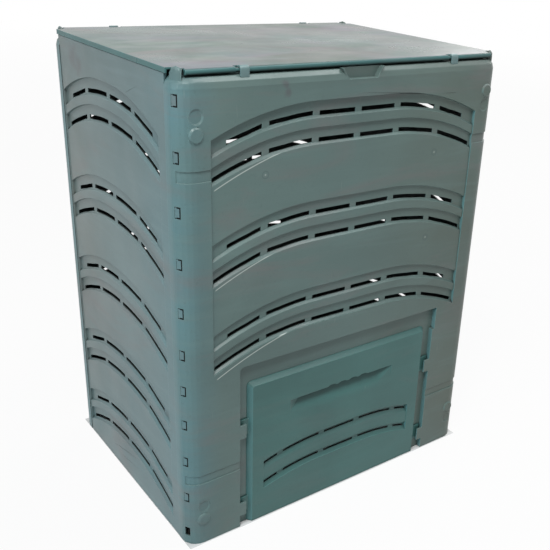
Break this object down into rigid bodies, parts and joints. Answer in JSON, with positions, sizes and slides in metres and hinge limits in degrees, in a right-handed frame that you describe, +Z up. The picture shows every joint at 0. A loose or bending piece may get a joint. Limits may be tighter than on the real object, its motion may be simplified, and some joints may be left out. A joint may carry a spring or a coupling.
{
  "type": "garden compost bin",
  "caption": "Rectangular moulded plastic garden compost bin with arched louvred vents, a lid that hooks hold at pins in its edge rods, and a lift-out hatch low in the front.",
  "frame": {"origin": "on the ground under the centre of the bin", "axes": "+Z up, -Y out of the front with the hatch, +X to the right seen from the front"},
  "size_m": [0.71, 0.5352, 0.904],
  "materials": {
    "panel_plastic": "satin moulded recycled plastic, grey-green, weathered",
    "side_plastic": "satin moulded recycled plastic, grey-green with a blue cast",
    "lid_plastic": "smooth satin, grey-green, with a soft reflection",
    "hatch_plastic": "satin, darker teal green",
    "hook_plastic": "satin, grey-green"
  },
  "bodies": {
    "bin": {"front_panel": "panel_plastic", "back_panel": "panel_plastic", "left_panel": "side_plastic", "right_panel": "side_plastic", "hinge_hook_left": "hook_plastic", "hinge_hook_right": "hook_plastic"},
    "lid": {"lid_panel": "lid_plastic"},
    "hatch": {"door_panel": "hatch_plastic"},
    "latch_left": {"lid_latch_left": "hook_plastic"},
    "latch_right": {"lid_latch_right": "hook_plastic"}
  },
  "joints": [
    {"name": "lid_hinge", "type": "hinge", "parent": "bin", "child": "lid", "pos_m": [0, 0.252, 0.8952], "axis": [-1, 0, 0], "range_deg": [0, 110]},
    {"name": "hatch_lift", "type": "slide", "parent": "bin", "child": "hatch", "axis": [0, 0, 1], "range_m": [0, 0.04]},
    {"name": "latch_left_swing", "type": "hinge", "parent": "bin", "child": "latch_left", "pos_m": [-0.23199, -0.2587, 0.88365], "axis": [1, 0, 0], "range_deg": [0, 30], "stiffness_Nm_per_rad": 0.2},
    {"name": "latch_right_swing", "type": "hinge", "parent": "bin", "child": "latch_right", "pos_m": [0.23199, -0.2587, 0.88365], "axis": [1, 0, 0], "range_deg": [0, 30], "stiffness_Nm_per_rad": 0.2}
  ]
}
